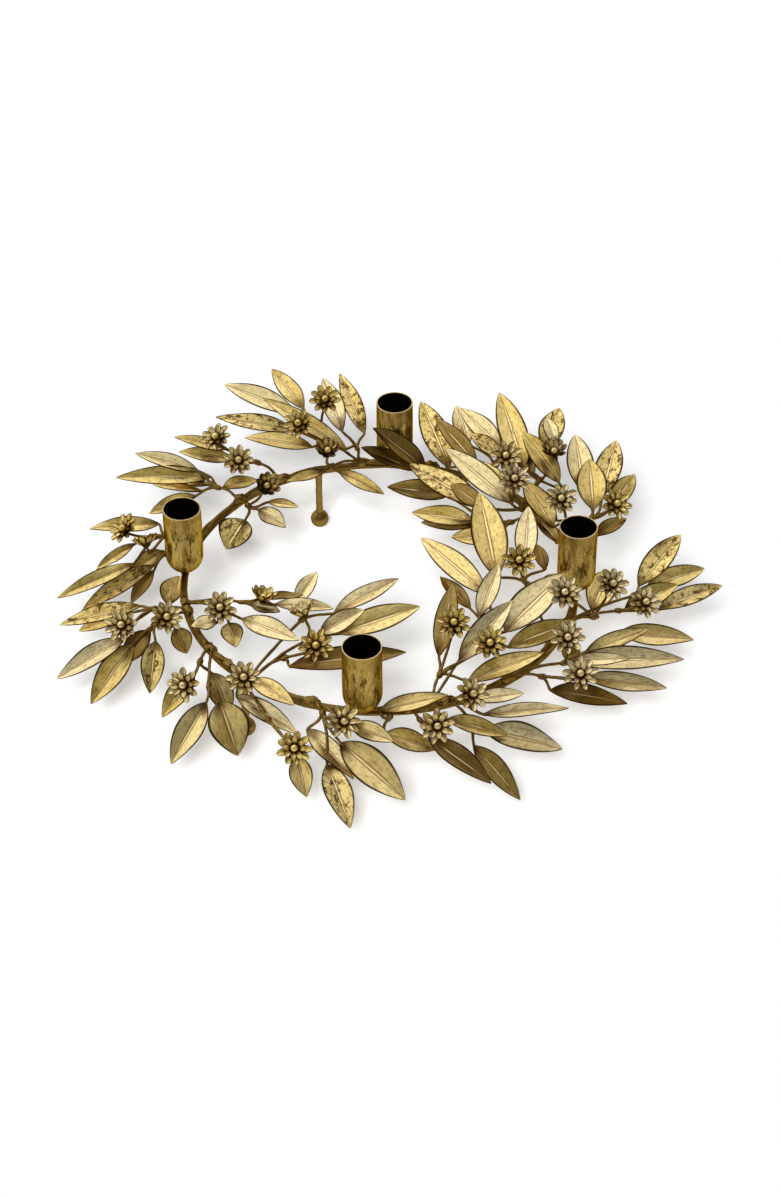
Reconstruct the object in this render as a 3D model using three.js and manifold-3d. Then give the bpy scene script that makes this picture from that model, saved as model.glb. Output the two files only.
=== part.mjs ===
// Wreath candle holder: a ring of brass rod on three ball feet, with four candle cups
// and sprays of folded leaves and small flowers brazed to it.
// Millimetres, +Z up. The origin is on the table, at the middle of the whole outline.

import * as THREE from "three";
import { mergeVertices } from "three/addons/utils/BufferGeometryUtils.js";
import Module from "manifold-3d";

const wasm = await Module();
wasm.setup();

// ---- driving dimensions -------------------------------------------------------------

const JOINT_GAP = 0.3; // clearance between two pieces that are brazed or rest on each other
const SLIVER = 0.03; // where joined surfaces cross, facets narrower than this are taken out
const RING_RADIUS = 123.4; // to the middle of the rod
const RING_HEIGHT = 45; // middle of the rod above the table
const RING_ROD_RADIUS = 2.5;
const RING_STEPS = 60;
const RING_SIDES = 6;

const CUP_COUNT = 4;
const FIRST_CUP_ANGLE = -4.7; // degrees from +X
const CUP_RADIUS = 12;
const CUP_WALL = 0.8;
const CUP_HEIGHT = 48.2;
const CUP_FLOOR_RADIUS = 5; // flat inside floor that a candle stands on
const CUP_FLOOR_THICKNESS = 2.2;
const CUP_CORNER_HEIGHT = 13; // how far up the rounded bottom reaches
const CUP_SEAT_RADIUS = 2; // small flat under the cup, on the ring
const CUP_SEGMENTS = 20;
const CUP_ARC_STEPS = 4;

const LEG_ANGLES = [109.2, 228.2, 349.2]; // degrees from +X
const LEG_RADIUS = 2.2;
const LEG_SIDES = 10;
const FOOT_RADIUS = 6;
const FOOT_FLAT_RADIUS = 1.9; // flat that stands on the table
const FOOT_SOCKET_DEPTH = 4;
const FOOT_SEGMENTS = 12;
const FOOT_ARC_STEPS = 6;

const TWIG_RADIUS = 1.7;
const STALK_RADIUS = 1.0;
const TWIG_SIDES = 4;
const STALK_SIDES = 4;
const TWIG_STEPS = 3;
const STALK_STEPS = 3;
const TWIG_ARCH = 1.5; // how far a twig bows upwards at its middle
const BRAZE_RADIUS = 3.4; // lump of braze where a spray sits on the ring

const LEAF_NECK = 0.9; // half width of the petiole
const LEAF_FOLD = 0.4; // rise of each half of the blade for its width
const LEAF_ARCH = 0.01; // bow of the blade for its length
const LEAF_TOP_CREASE = 0.6; // half thickness along the midrib
const LEAF_STATIONS = [0, 0.2, 0.45, 0.75];
const LEAF_FACING = new THREE.Vector3(0, -0.4, 1).normalize(); // side the folds open to

const PETAL_COUNT = 8;
const PETAL_RADIUS = 10.5;
const PETAL_NOTCH_RADIUS = 6;
const PETAL_RISE = 3;
const PETAL_THICKNESS = 1.4;
const BEAD_RADIUS = 2.8;
const BEAD_RISE = 3.2;
const FLOWER_FACING = [0, -2, 3];

const BUD_RADIUS = 5.5;
const BUD_LENGTH = 10;
const BUD_SIDES = 8;

// ---- layout --------------------------------------------------------------------------
// Places are millimetres from the middle of the ring, and heights are above the table.
// A spray starts on the ring at ringAngle and runs to its forks. From a fork each leaf
// runs to where its blade starts and on to its point: [start x, y, z, point x, y, z, width].
// A flower is [x, y, z, facing x, y, z]; without a facing it looks up and forward.

const SPRAYS = [
  {
    name: "left_back", ringAngle: 166, forks: [
      { at: [-138, 40, 51],
        leaves: [[-142, 50, 53, -185, 37, 60, 12], [-157, 33, 50, -181, 20, 40, 8],
          [-156, 14, 49, -205, 1, 32, 11]],
        flowers: [[-162, 28, 66, -2, -1, 3]],
        buds: [[-148, 23, 57, -1, 2, 3]] },
      { at: [-136, 27, 47],
        leaves: [[-139, 32, 45, -159, 23, 36, 11],
          [-144, 16, 46, -189, -4, 26, 13],
          [-144, 17, 41, -159, 5, 24, 10]] },
    ],
  },
  {
    name: "left_low", ringAngle: 195, forks: [
      { at: [-140, -33, 51],
        leaves: [[-149, -29, 50, -200, -30, 36, 13],
          [-156, -28, 43, -190, -22, 24, 11], [-157, -57, 47, -199, -70, 26, 15]],
        flowers: [[-158, -55, 56, -1, -3, 4]] },
      { at: [-137, -42, 47],
        leaves: [[-152, -56, 42, -177, -87, 20, 18],
          [-142, -45, 43, -160, -56, 26, 15],
          [-138, -56, 44, -141, -82, 24, 15], [-127, -38, 40, -120, -47, 26, 14],
          [-133, -12, 37, -128, 20, 34, 17]],
        flowers: [[-131, -50, 58, 1, -2, 3]] },
    ],
  },
  {
    name: "front_left_outer", ringAngle: 213, forks: [
      { at: [-109, -82, 50],
        leaves: [[-112, -92, 48, -132, -108, 28, 14],
          [-102, -87, 45, -91, -104, 26, 16]],
        flowers: [[-117, -111, 56, -1, -3, 3]] },
      { at: [-103, -100, 46],
        leaves: [[-104, -113, 44, -125, -141, 20, 17],
          [-96, -110, 42, -85, -134, 20, 25]] },
    ],
  },
  {
    name: "front_left_inner", ringAngle: 222, forks: [
      { at: [-84, -98, 51],
        leaves: [[-77, -101, 52, -51, -122, 50, 13],
          [-86, -108, 45, -49, -132, 36, 13]],
        flowers: [[-81, -110, 61, 0, -2, 3]] },
      { at: [-66, -128, 43],
        leaves: [[-49, -152, 36, -43, -172, 22, 14]],
        flowers: [[-50, -157, 47, 0, -3, 3]] },
    ],
  },
  {
    name: "front", ringAngle: 251, forks: [
      { at: [-34, -128, 48],
        leaves: [[-43, -135, 42, -15, -165, 30, 14],
          [-31, -157, 34, -17, -194, 18, 17],
          [-23, -147, 42, 15, -177, 24, 22]],
        flowers: [[-21, -143, 55, 1, -3, 4]] },
      { at: [-24, -134, 49],
        leaves: [[-17, -138, 48, 8, -148, 44, 13]] },
    ],
  },
  {
    name: "front_right_low", ringAngle: 277, forks: [
      { at: [6, -134, 50],
        leaves: [[0, -129, 51, 41, -122, 57, 12],
          [3, -139, 42, 33, -145, 34, 14]] },
      { at: [24, -134, 48],
        leaves: [[29, -142, 41, 66, -161, 22, 15], [40, -131, 46, 76, -136, 37, 12]],
        flowers: [[34, -146, 54, 0, -3, 3]] },
    ],
  },
  {
    name: "front_right_high", ringAngle: 289, forks: [
      { at: [50, -122, 51],
        leaves: [[56, -122, 53, 86, -117, 54, 11],
          [62, -128, 47, 113, -119, 44, 10]],
        flowers: [[55, -127, 62, 1, -2, 3]] },
      { at: [53, -128, 44],
        leaves: [[63, -132, 38, 109, -136, 26, 19],
          [56, -139, 32, 83, -167, 14, 14]] },
    ],
  },
  {
    name: "right_low", ringAngle: 309, forks: [
      { at: [98, -95, 48],
        leaves: [[103, -102, 43, 151, -93, 24, 15],
          [124, -91, 43, 175, -88, 32, 13]],
        flowers: [[120, -107, 60, 0, -2, 3]] },
      { at: [112, -85, 50],
        leaves: [[118, -83, 49, 186, -73, 42, 17],
          [116, -88, 54, 152, -87, 55, 9], [125, -77, 51, 165, -54, 50, 12],
          [148, -48, 42, 195, -45, 34, 15]],
        flowers: [[114, -77, 63, 0, -2, 3]] },
    ],
  },
  {
    name: "right", ringAngle: 338, forks: [
      { at: [132, -43, 51],
        leaves: [[133, -25, 41, 146, 14, 42, 19]],
        flowers: [[144, -28, 65, 1, -2, 3], [113, -51, 77, 0, -2, 3]] },
      { at: [148, -37, 51],
        leaves: [[152, -37, 52, 186, -19, 57, 15],
          [174, -30, 46, 217, 1, 40, 14]],
        flowers: [[163, -46, 65, 1, -2, 3]] },
      { at: [160, -16, 46],
        leaves: [[163, -7, 46, 193, 38, 52, 17],
          [169, -3, 42, 208, 23, 36, 15]] },
    ],
  },
  {
    name: "right_back", ringAngle: 20, forks: [
      { at: [134, 52, 53],
        leaves: [[133, 75, 58, 129, 120, 72, 18], [138, 58, 57, 137, 95, 70, 20],
          [145, 77, 54, 157, 124, 64, 18],
          [151, 70, 49, 168, 100, 54, 14], [139, 41, 49, 160, 60, 48, 11]],
        flowers: [[152, 53, 65, 1, -2, 3]] },
      { at: [120, 48, 55],
        leaves: [[114, 48, 56, 101, 56, 58, 11],
          [111, 42, 56, 94, 79, 64, 17], [114, 30, 52, 101, 55, 54, 10]],
        flowers: [[116, 47, 74, 0, -2, 3]] },
    ],
  },
  {
    name: "back_right_tall", ringAngle: 39, forks: [
      { at: [104, 88, 58],
        leaves: [[95, 96, 62, 80, 157, 80, 19]],
        flowers: [[82, 88, 78, 0, -2, 3]] },
      { at: [119, 79, 55],
        leaves: [[117, 83, 60, 94, 117, 77, 16],
          [101, 93, 57, 88, 126, 72, 11]] },
      { at: [113, 98, 60],
        leaves: [[109, 112, 65, 120, 147, 74, 17],
          [115, 109, 73, 110, 127, 81, 10]],
        buds: [[114, 98, 73, 0, -1, 4]] },
    ],
  },
  {
    name: "back_right_wide", ringAngle: 53, forks: [
      { at: [76, 103, 56],
        leaves: [[46, 107, 55, 28, 172, 62, 19],
          [64, 102, 61, 37, 138, 73, 13], [59, 126, 60, 52, 162, 66, 14],
          [80, 115, 65, 54, 150, 72, 15], [79, 102, 67, 60, 117, 75, 12]] },
    ],
  },
  {
    name: "right_back_inner", ringAngle: 30, forks: [
      { at: [92, 60, 56],
        leaves: [[84, 61, 61, 43, 105, 72, 17],
          [65, 60, 58, 19, 96, 66, 20], [66, 53, 63, 46, 74, 66, 13],
          [86, 64, 57, 66, 99, 66, 14]],
        flowers: [[87, 66, 76, 0, -2, 3]] },
      { at: [84, 50, 53],
        leaves: [[45, 82, 51, 5, 87, 54, 15], [61, 51, 53, 21, 61, 53, 15],
          [72, 37, 50, 46, 40, 49, 13], [62, 56, 46, 27, 62, 44, 12]] },
    ],
  },
  {
    name: "inner_right", ringAngle: 284, forks: [
      { at: [36, -100, 54],
        leaves: [[36, -83, 54, 46, -20, 60, 14],
          [48, -94, 59, 81, -57, 76, 16], [53, -105, 53, 99, -87, 60, 15]],
        flowers: [[45, -73, 72, 0, -2, 3], [66, -97, 76, 0, -2, 3]] },
      { at: [60, -70, 58],
        leaves: [[56, -40, 56, 38, -5, 53, 10],
          [66, -31, 60, 26, 26, 60, 17], [61, -58, 64, 74, -22, 76, 13],
          [76, -71, 63, 114, -29, 74, 23], [78, -78, 57, 121, -54, 57, 15]] },
    ],
  },
  {
    name: "inner_right_back", ringAngle: 328, forks: [
      { at: [90, -16, 58],
        leaves: [[73, -18, 63, 64, 52, 76, 23], [91, -4, 62, 95, 42, 72, 15],
          [104, -1, 55, 100, 26, 54, 9], [100, -28, 62, 113, -20, 66, 9]],
        flowers: [[87, -12, 71, 0, -2, 3]] },
    ],
  },
  {
    name: "inner_left", ringAngle: 231, forks: [
      { at: [-58, -84, 54],
        leaves: [[-54, -94, 56, 16, -86, 60, 16]],
        flowers: [[-38, -94, 72, 0, -2, 3]] },
      { at: [-44, -72, 58],
        leaves: [[-36, -73, 64, -9, -61, 73, 13],
          [-24, -66, 58, 25, -43, 60, 18]],
        buds: [[-46, -58, 66, -1, 1, 3]] },
      { at: [-48, -48, 54],
        leaves: [[-28, -43, 55, 12, -13, 58, 13],
          [-52, -33, 55, -39, -8, 60, 11]] },
    ],
  },
  {
    name: "inner_left_back", ringAngle: 191, forks: [
      { at: [-98, -40, 56],
        leaves: [[-100, -50, 54, -116, -51, 52, 11], [-93, -46, 50, -88, -64, 46, 14],
          [-84, -53, 59, -49, -79, 64, 14]],
        flowers: [[-98, -46, 62, 0, -2, 3]] },
      { at: [-84, -38, 60],
        leaves: [[-79, -43, 62, -61, -47, 60, 9],
          [-64, -45, 64, -28, -49, 64, 10], [-72, -36, 62, -47, -36, 64, 6]],
        buds: [[-72, -41, 64, 1, 1, 4]] },
    ],
  },
  {
    name: "back_left_low", ringAngle: 138, forks: [
      { at: [-86, 78, 46],
        leaves: [[-88, 72, 39, -100, 54, 29, 24],
          [-79, 75, 45, -61, 63, 40, 13], [-73, 82, 46, -53, 77, 46, 7]],
        buds: [[-74, 83, 58, 1, -2, 3]] },
      { at: [-106, 90, 52],
        leaves: [[-119, 101, 57, -161, 112, 64, 12], [-111, 99, 54, -173, 96, 56, 14],
          [-112, 94, 51, -136, 103, 50, 7], [-117, 93, 47, -150, 103, 45, 7],
          [-121, 90, 45, -151, 78, 40, 12], [-103, 90, 52, -80, 95, 54, 11]] },
    ],
  },
  {
    name: "back_left_high", ringAngle: 122, forks: [
      { at: [-80, 106, 60],
        leaves: [[-96, 107, 62, -132, 111, 66, 11], [-101, 113, 66, -135, 118, 73, 9]],
        flowers: [[-107, 111, 77, -1, -1, 3], [-92, 95, 70, 0, -2, 3]] },
    ],
  },
  {
    name: "back_left_tall", ringAngle: 96, forks: [
      { at: [-15, 128, 56],
        leaves: [[-10, 136, 62, -27, 186, 76, 13],
          [-25, 136, 64, -38, 180, 76, 15],
          [-22, 120, 61, -78, 157, 76, 13]] },
      { at: [-36, 130, 58],
        leaves: [[-51, 159, 66, -73, 191, 76, 14], [-57, 155, 65, -105, 179, 72, 16],
          [-58, 146, 58, -110, 155, 62, 13],
          [-45, 129, 56, -90, 139, 57, 13]],
        flowers: [[-36, 143, 84, 0, -1, 2], [-53, 122, 80, -1, -2, 3]] },
      { at: [-32, 114, 51],
        leaves: [[-38, 107, 51, -61, 99, 50, 8], [-27, 112, 48, 3, 95, 42, 10]],
        buds: [[-34, 107, 68, 0, -1, 3]] },
    ],
  },
  {
    name: "back", ringAngle: 74, forks: [
      { at: [32, 107, 53],
        leaves: [[30, 102, 58, -4, 106, 88, 16],
          [22, 107, 53, -12, 105, 73, 13]] },
    ],
  },
];

// ---- shared helpers ------------------------------------------------------------------

const radians = THREE.MathUtils.degToRad;

function onRing(angle, height) {
  const turn = radians(angle);
  return new THREE.Vector3(RING_RADIUS * Math.cos(turn), RING_RADIUS * Math.sin(turn), height);
}

function weld(geometry) {
  const bare = geometry.clone();
  bare.deleteAttribute("normal");
  bare.deleteAttribute("uv");
  return mergeVertices(bare, 1e-4);
}

function toSolid(geometry) {
  const welded = weld(geometry);
  return new wasm.Manifold(new wasm.Mesh({
    numProp: 3,
    vertProperties: new Float32Array(welded.attributes.position.array),
    triVerts: new Uint32Array(welded.index.array),
  }));
}

function toGeometry(solid) {
  const mesh = solid.getMesh();
  const geometry = new THREE.BufferGeometry();
  geometry.setAttribute("position", new THREE.BufferAttribute(mesh.vertProperties, 3));
  geometry.setIndex(new THREE.BufferAttribute(mesh.triVerts, 1));
  geometry.computeVertexNormals();
  return geometry;
}

function join(geometries) {
  const whole = geometries.map(toSolid).reduce((joined, piece) => joined.add(piece));
  return toGeometry(whole.simplify(SLIVER));
}

// A closed solid between rings of points that all have the same count. A ring may also be
// one point, which closes that end. Rings run anticlockwise seen from the last one.
function skin(rings) {
  const count = Math.max(...rings.map((ring) => ring.length));
  const positions = rings.flat().flatMap((point) => point.toArray());
  const starts = [];
  let total = 0;
  for (const ring of rings) {
    starts.push(total);
    total += ring.length;
  }
  const corner = (level, step) => starts[level] + (step % rings[level].length);
  const triangles = [];
  for (let level = 0; level < rings.length - 1; level += 1) {
    for (let step = 0; step < count; step += 1) {
      const [a, b] = [corner(level, step), corner(level, step + 1)];
      const [c, d] = [corner(level + 1, step), corner(level + 1, step + 1)];
      if (a !== b) {
        triangles.push(a, b, d);
      }
      if (c !== d) {
        triangles.push(a, d, c);
      }
    }
  }
  const geometry = new THREE.BufferGeometry();
  geometry.setAttribute("position", new THREE.Float32BufferAttribute(positions, 3));
  geometry.setIndex(triangles);
  return geometry;
}

function wire(points, radius, sides, steps) {
  const section = new THREE.Shape();
  for (let side = 0; side < sides; side += 1) {
    const turn = (2 * Math.PI * side) / sides;
    const [x, y] = [radius * Math.cos(turn), radius * Math.sin(turn)];
    if (side === 0) {
      section.moveTo(x, y);
    } else {
      section.lineTo(x, y);
    }
  }
  section.closePath();
  const extrudePath = new THREE.CatmullRomCurve3(points);
  return new THREE.ExtrudeGeometry(section, { steps, extrudePath });
}

function lathe(profile, segments) {
  const geometry = new THREE.LatheGeometry(profile.map(([x, y]) => new THREE.Vector2(x, y)), segments);
  return weld(geometry.rotateX(Math.PI / 2));
}

// Points of an arc about the axis, from one angle above the horizontal to another.
function arcPoints(centreHeight, radiusAcross, radiusUp, from, to, steps) {
  return Array.from({ length: steps + 1 }, (_, step) => {
    const angle = from + ((to - from) * step) / steps;
    return [radiusAcross * Math.cos(angle), centreHeight + radiusUp * Math.sin(angle)];
  });
}

// ---- ring, cups, legs and feet ---------------------------------------------------------

function ringRod() {
  const geometry = new THREE.TorusGeometry(RING_RADIUS, RING_ROD_RADIUS, RING_SIDES, RING_STEPS);
  return weld(geometry.rotateZ(Math.PI / RING_STEPS).translate(0, 0, RING_HEIGHT));
}

function candleCup() {
  const seatAngle = -Math.acos(CUP_SEAT_RADIUS / CUP_RADIUS);
  const inner = CUP_RADIUS - CUP_WALL;
  const floorAngle = -Math.acos(CUP_FLOOR_RADIUS / inner);
  const sag = CUP_CORNER_HEIGHT / -Math.sin(seatAngle);
  const innerSag = (CUP_CORNER_HEIGHT - CUP_FLOOR_THICKNESS) / -Math.sin(floorAngle);
  const outside = arcPoints(CUP_CORNER_HEIGHT, CUP_RADIUS, sag, seatAngle, 0, CUP_ARC_STEPS);
  const inside = arcPoints(CUP_CORNER_HEIGHT, inner, innerSag, 0, floorAngle, CUP_ARC_STEPS);
  const rim = [[CUP_RADIUS, CUP_HEIGHT], [inner, CUP_HEIGHT]];
  return lathe([[0, 0], ...outside, ...rim, ...inside, [0, CUP_FLOOR_THICKNESS]], CUP_SEGMENTS);
}

function ballFoot() {
  const centre = Math.sqrt(FOOT_RADIUS ** 2 - FOOT_FLAT_RADIUS ** 2);
  const socket = LEG_RADIUS + JOINT_GAP;
  const from = -Math.acos(FOOT_FLAT_RADIUS / FOOT_RADIUS);
  const to = Math.acos(socket / FOOT_RADIUS);
  const outside = arcPoints(centre, FOOT_RADIUS, FOOT_RADIUS, from, to, FOOT_ARC_STEPS);
  const socketFloor = outside.at(-1)[1] - FOOT_SOCKET_DEPTH;
  return {
    geometry: lathe([[0, 0], ...outside, [socket, socketFloor], [0, socketFloor]], FOOT_SEGMENTS),
    socketFloor,
  };
}

function legRod(bottom, top) {
  const rod = new THREE.CylinderGeometry(LEG_RADIUS, LEG_RADIUS, top - bottom, LEG_SIDES);
  return weld(rod.rotateX(Math.PI / 2).translate(0, 0, (top + bottom) / 2));
}

// ---- leaves, twigs and flowers -----------------------------------------------------------

function leafOutline(along) {
  return Math.sin(Math.PI * along ** 0.85) ** 0.8;
}

// Four corners of the folded blade: one edge, the crease above, the other edge, the crease below.
function leafSection(centre, direction, halfWidth) {
  const side = new THREE.Vector3().crossVectors(direction, LEAF_FACING).normalize();
  const up = new THREE.Vector3().crossVectors(side, direction).normalize();
  const rise = (halfWidth - LEAF_NECK) * LEAF_FOLD;
  const corner = (across, height) => centre.clone().addScaledVector(side, across).addScaledVector(up, height);
  return [
    corner(-halfWidth, rise),
    corner(0, LEAF_TOP_CREASE),
    corner(halfWidth, rise),
    corner(0, -LEAF_NECK),
  ];
}

function leaf(fork, [startX, startY, startZ, pointX, pointY, pointZ, width]) {
  const start = new THREE.Vector3(startX, startY, startZ);
  const point = new THREE.Vector3(pointX, pointY, pointZ);
  const bow = LEAF_FACING.clone().multiplyScalar(LEAF_ARCH * start.distanceTo(point));
  const blade = LEAF_STATIONS.map((along) => start.clone().lerp(point, along)
    .addScaledVector(bow, 4 * along * (1 - along)));
  const centres = [fork, ...blade, point];
  const rings = centres.slice(0, -1).map((centre, index) => {
    const before = centres[Math.max(index - 1, 0)];
    const direction = centres[index + 1].clone().sub(before).normalize();
    const across = index === 0 ? 0 : leafOutline(LEAF_STATIONS[index - 1]) * width / 2;
    return leafSection(centre, direction, Math.max(across, LEAF_NECK));
  });
  return skin([[fork], ...rings, [point]]);
}

// Turns a shape made facing +Z to face the given way and puts it at its place.
function place(geometry, [x, y, z, ...facing]) {
  const look = new THREE.Vector3(...(facing.length ? facing : FLOWER_FACING)).normalize();
  const turn = new THREE.Quaternion().setFromUnitVectors(new THREE.Vector3(0, 0, 1), look);
  return geometry.applyQuaternion(turn).translate(x, y, z);
}

function flowerHead() {
  const count = 2 * PETAL_COUNT;
  const ring = (radiusAt, heightAt) => Array.from({ length: count }, (_, step) => {
    const turn = (2 * Math.PI * step) / count;
    const radius = radiusAt(step);
    return new THREE.Vector3(radius * Math.cos(turn), radius * Math.sin(turn), heightAt(step));
  });
  const reach = (step) => (step % 2 ? PETAL_NOTCH_RADIUS : PETAL_RADIUS);
  const lift = (step) => (step % 2 ? PETAL_RISE / 3 : PETAL_RISE);
  return skin([
    [new THREE.Vector3(0, 0, -PETAL_THICKNESS)],
    ring(reach, lift),
    ring(() => BEAD_RADIUS, () => 0),
    [new THREE.Vector3(0, 0, BEAD_RISE)],
  ]);
}

function budHead() {
  const profile = [[0, -1], [1.6, 0], [BUD_RADIUS * 0.8, BUD_LENGTH * 0.4],
    [BUD_RADIUS, BUD_LENGTH * 0.9], [0, BUD_LENGTH]];
  return lathe(profile, BUD_SIDES);
}

function behind([x, y, z, ...facing], distance) {
  const look = new THREE.Vector3(...(facing.length ? facing : FLOWER_FACING)).normalize();
  return new THREE.Vector3(x, y, z).addScaledVector(look, -distance);
}

function twig(from, to) {
  const middle = from.clone().lerp(to, 0.5);
  middle.z += TWIG_ARCH;
  return wire([from, middle, to], TWIG_RADIUS, TWIG_SIDES, TWIG_STEPS);
}

function stalk(fork, head, gap) {
  const end = behind(head, gap);
  const bend = behind(head, gap + fork.distanceTo(end) * 0.4);
  return wire([fork, bend, end], STALK_RADIUS, STALK_SIDES, STALK_STEPS);
}

function spray({ ringAngle, forks }) {
  const seat = RING_HEIGHT + RING_ROD_RADIUS + JOINT_GAP + BRAZE_RADIUS * 0.8;
  const root = onRing(ringAngle, seat);
  const braze = new THREE.IcosahedronGeometry(BRAZE_RADIUS).translate(...root.toArray());
  const pieces = [braze];
  for (const { at, leaves = [], flowers = [], buds = [] } of forks) {
    const fork = new THREE.Vector3(...at);
    pieces.push(twig(root, fork));
    pieces.push(...leaves.map((entry) => leaf(fork, entry)));
    pieces.push(...flowers.map((head) => stalk(fork, head, PETAL_THICKNESS + JOINT_GAP)));
    pieces.push(...buds.map((head) => stalk(fork, head, 0)));
    pieces.push(...buds.map((head) => place(budHead(), head)));
  }
  return join(pieces);
}

// ---- materials -------------------------------------------------------------------------

const brass = (color, roughness, metalness) => new THREE.MeshStandardMaterial({
  color, roughness, metalness, flatShading: true,
});
const rodBrass = brass(0x6b5526, 0.45, 0.9);
const cupBrass = brass(0x8a6a2a, 0.4, 0.9);
const leafBrass = brass(0xa58a45, 0.4, 0.85);
const flowerBrass = brass(0xcbb67a, 0.35, 0.85);

// ---- assembly --------------------------------------------------------------------------

const assembly = new THREE.Group();

function addPiece(name, geometry, material) {
  const mesh = new THREE.Mesh(geometry, material);
  mesh.name = name;
  assembly.add(mesh);
  return mesh;
}

addPiece("ring_rod", ringRod(), rodBrass.clone());

for (let index = 0; index < CUP_COUNT; index += 1) {
  const cup = addPiece(`candle_cup_${index + 1}`, candleCup(), cupBrass.clone());
  const angle = FIRST_CUP_ANGLE + (360 * index) / CUP_COUNT;
  cup.position.copy(onRing(angle, RING_HEIGHT + RING_ROD_RADIUS + JOINT_GAP));
}

const foot = ballFoot();
for (const [index, angle] of LEG_ANGLES.entries()) {
  const legTop = RING_HEIGHT - RING_ROD_RADIUS - JOINT_GAP;
  const leg = addPiece(`leg_${index + 1}`, legRod(foot.socketFloor + JOINT_GAP, legTop), rodBrass.clone());
  leg.position.copy(onRing(angle, 0));
  const ball = addPiece(`ball_foot_${index + 1}`, foot.geometry.clone(), rodBrass.clone());
  ball.position.copy(onRing(angle, 0));
}

for (const branch of SPRAYS) {
  addPiece(`spray_${branch.name}`, spray(branch), leafBrass.clone());
  const heads = branch.forks.flatMap(({ flowers = [] }) => flowers);
  heads.forEach((head, index) => {
    addPiece(`flower_${branch.name}_${index + 1}`, place(flowerHead(), head), flowerBrass.clone());
  });
}

// The outline's middle goes over the origin.
assembly.updateMatrixWorld(true);
const outline = new THREE.Box3().setFromObject(assembly, true);
const middle = outline.getCenter(new THREE.Vector3());
assembly.position.set(-middle.x, -middle.y, -outline.min.z);
assembly.updateMatrixWorld(true);

export default assembly;
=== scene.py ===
"""Looks of the wreath candle holder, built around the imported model.

Shapes are worked out in millimetres from the middle of the ring, as in the part's own source,
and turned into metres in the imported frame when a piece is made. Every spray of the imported
model is replaced by its wires, leaves and buds, and every flower, cup, leg, foot and the ring
by a finer one in the same place.
"""

import math
import random

import bmesh
import bpy
from mathutils import Matrix, Quaternion, Vector, noise


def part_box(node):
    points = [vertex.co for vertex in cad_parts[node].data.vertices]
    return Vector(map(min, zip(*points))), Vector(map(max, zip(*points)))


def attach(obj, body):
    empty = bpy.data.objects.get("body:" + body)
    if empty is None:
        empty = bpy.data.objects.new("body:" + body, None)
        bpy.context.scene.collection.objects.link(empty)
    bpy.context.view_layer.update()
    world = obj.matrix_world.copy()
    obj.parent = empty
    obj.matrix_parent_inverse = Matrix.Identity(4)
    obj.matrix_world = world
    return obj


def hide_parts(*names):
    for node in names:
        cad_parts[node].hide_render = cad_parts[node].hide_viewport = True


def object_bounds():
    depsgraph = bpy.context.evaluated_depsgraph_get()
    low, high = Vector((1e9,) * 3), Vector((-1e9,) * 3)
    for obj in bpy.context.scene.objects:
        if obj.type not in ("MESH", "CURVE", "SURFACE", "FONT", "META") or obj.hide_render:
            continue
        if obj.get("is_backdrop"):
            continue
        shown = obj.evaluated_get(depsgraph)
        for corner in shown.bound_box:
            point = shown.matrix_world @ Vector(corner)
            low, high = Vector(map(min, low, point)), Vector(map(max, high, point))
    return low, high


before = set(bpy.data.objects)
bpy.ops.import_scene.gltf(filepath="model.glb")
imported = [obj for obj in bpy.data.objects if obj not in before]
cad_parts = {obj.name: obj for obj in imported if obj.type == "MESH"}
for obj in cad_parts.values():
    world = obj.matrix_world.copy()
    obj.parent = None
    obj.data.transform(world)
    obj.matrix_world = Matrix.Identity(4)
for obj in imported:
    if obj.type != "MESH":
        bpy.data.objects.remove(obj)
CAD_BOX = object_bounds()

# ---- sizes: millimetres from the middle of the ring, heights above the table ----------------

MM = 0.001
SEED = 7

RING_RADIUS = 123.4
RING_HEIGHT = 45.0
RING_ROD = 2.5
RING_STEPS = 240
RING_SIDES = 32
RING_STRANDS = 4  # wires that the ring looks bundled from
RING_LAY = 5  # how many times they wind round it
RING_GROOVE = 0.55
RING_UNEVEN = 0.22  # the rod was bent and hammered by hand

CUP_RADIUS = 12.0
CUP_WALL = 0.8
CUP_BASE = 47.8
CUP_HEIGHT = 48.2
CUP_FLOOR_RADIUS = 5.0
CUP_FLOOR = 2.2
CUP_CORNER = 13.0  # how far up the rounded bottom reaches
CUP_SEAT = 2.0
CUP_RIM_BAND = 0.6  # how far down the painted highlight on the rim reaches
CUP_RIM_BEVEL = 0.25
CUP_RIM_ROUND = 0.12
CUP_RIM_DROP = 0.05
CUP_RIM_ROWS = 5
CUP_WALL_STEPS = 8
CUP_SIDES = 96
CUP_UNEVEN = 0.12

LEG_RADIUS = 2.2
LEG_START = 10.0  # inside the ball
LEG_STEPS = 12
LEG_FLARE = (0.5, 0.15, *[0.0] * 8, 0.05, 0.35, 0.6)
FOOT_RADIUS = 6.0
FOOT_FLAT = 1.9

TWIG_RADIUS = 1.1
TWIG_SPACING = 1.5  # between the middles of twigs that lie side by side on the ring
PETIOLE_RADIUS = 0.95
STALK_RADIUS = 0.8
WIRE_SIDES = 10
TWIG_RUN = 36.0  # length that each twig lies along the ring before it leaves it
TWIG_ARCH = 2.0
BRAZE_RADIUS = 3.2

LEAF_FACING = Vector((0.0, -0.4, 1.0)).normalized()
LEAF_ARCH = 0.012
LEAF_FOLD = 0.4
LEAF_NECK = 0.75
LEAF_TIP = 0.14
LEAF_THICKNESS = 0.7
LEAF_ROWS = 26
MIDRIB = 0.3
LEAF_COLUMNS = (-0.985, -0.8, -0.55, -0.3, -0.1, -0.035, 0.0, 0.035, 0.1, 0.3, 0.55, 0.8, 0.985)

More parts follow.
